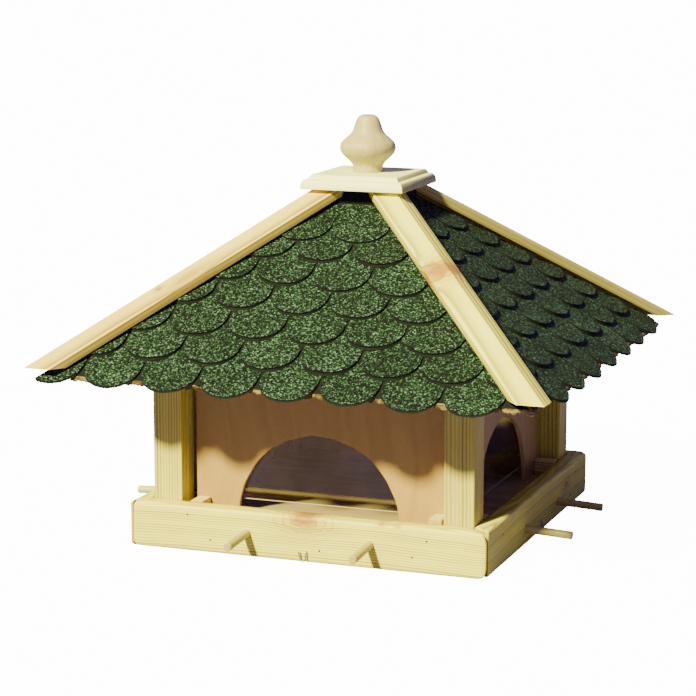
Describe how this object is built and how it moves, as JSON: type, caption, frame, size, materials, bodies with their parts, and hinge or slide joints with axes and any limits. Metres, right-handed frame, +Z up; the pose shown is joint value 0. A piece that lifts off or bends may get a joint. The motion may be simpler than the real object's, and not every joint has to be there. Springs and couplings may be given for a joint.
{
  "type": "bird feeder",
  "caption": "Square wooden bird feeder: shingled hipped roof on posts, seed silo behind arched windows, perches round the tray and a lift-off knob lid.",
  "frame": {"origin": "middle of the tray's underside, on the surface it stands on", "axes": "+Z up, -Y out of the front, +X out of the right side"},
  "size_m": [0.5638, 0.5638, 0.454],
  "materials": {
    "tray_pine": "sanded bare pine with grain and knots",
    "post_pine": "planed bare pine, straight grain",
    "frame_pine": "sawn bare pine",
    "batten_pine": "planed bare pine with small knots",
    "cap_pine": "planed pale pine, moulded edge",
    "panel_plywood": "smooth light plywood",
    "floor_plywood": "smooth light plywood",
    "deck_wood": "rough sawn board",
    "perch_beech": "smooth dowel",
    "finial_beech": "smooth turned beech",
    "clear_acrylic": "clear gloss",
    "bitumen_shingle": "dark green mineral granules on bitumen",
    "hook_steel": "zinc plated wire"
  },
  "bodies": {
    "feeder": {"rim_front": "tray_pine", "arch_panel_front": "panel_plywood", "window_pane_front": "clear_acrylic", "top_rail_front": "frame_pine", "roof_deck_front": "deck_wood", "shingles_front": "bitumen_shingle", "hook_front": "hook_steel", "perch_front_1": "perch_beech", "cleat_front_1": "frame_pine", "perch_front_2": "perch_beech", "cleat_front_2": "frame_pine", "rim_right": "tray_pine", "arch_panel_right": "panel_plywood", "window_pane_right": "clear_acrylic", "top_rail_right": "frame_pine", "roof_deck_right": "deck_wood", "shingles_right": "bitumen_shingle", "hook_right": "hook_steel", "perch_right_1": "perch_beech", "cleat_right_1": "frame_pine", "perch_right_2": "perch_beech", "cleat_right_2": "frame_pine", "rim_back": "tray_pine", "arch_panel_back": "panel_plywood", "window_pane_back": "clear_acrylic", "top_rail_back": "frame_pine", "roof_deck_back": "deck_wood", "shingles_back": "bitumen_shingle", "hook_back": "hook_steel", "perch_back_1": "perch_beech", "cleat_back_1": "frame_pine", "perch_back_2": "perch_beech", "cleat_back_2": "frame_pine", "rim_left": "tray_pine", "arch_panel_left": "panel_plywood", "window_pane_left": "clear_acrylic", "top_rail_left": "frame_pine", "roof_deck_left": "deck_wood", "shingles_left": "bitumen_shingle", "hook_left": "hook_steel", "perch_left_1": "perch_beech", "cleat_left_1": "frame_pine", "perch_left_2": "perch_beech", "cleat_left_2": "frame_pine", "post_front_right": "post_pine", "hip_batten_front_right": "batten_pine", "post_back_right": "post_pine", "hip_batten_back_right": "batten_pine", "post_back_left": "post_pine", "hip_batten_back_left": "batten_pine", "post_front_left": "post_pine", "hip_batten_front_left": "batten_pine", "floor_board": "floor_plywood", "floor_bearer_front": "frame_pine", "floor_bearer_back": "frame_pine"},
    "lid": {"cap_board": "cap_pine", "lid_collar": "frame_pine", "finial": "finial_beech", "finial_screw": "hook_steel"}
  },
  "joints": [
    {"name": "lid_lift", "type": "slide", "parent": "feeder", "child": "lid", "axis": [0, 0, 1], "range_m": [0, 0.08]}
  ]
}
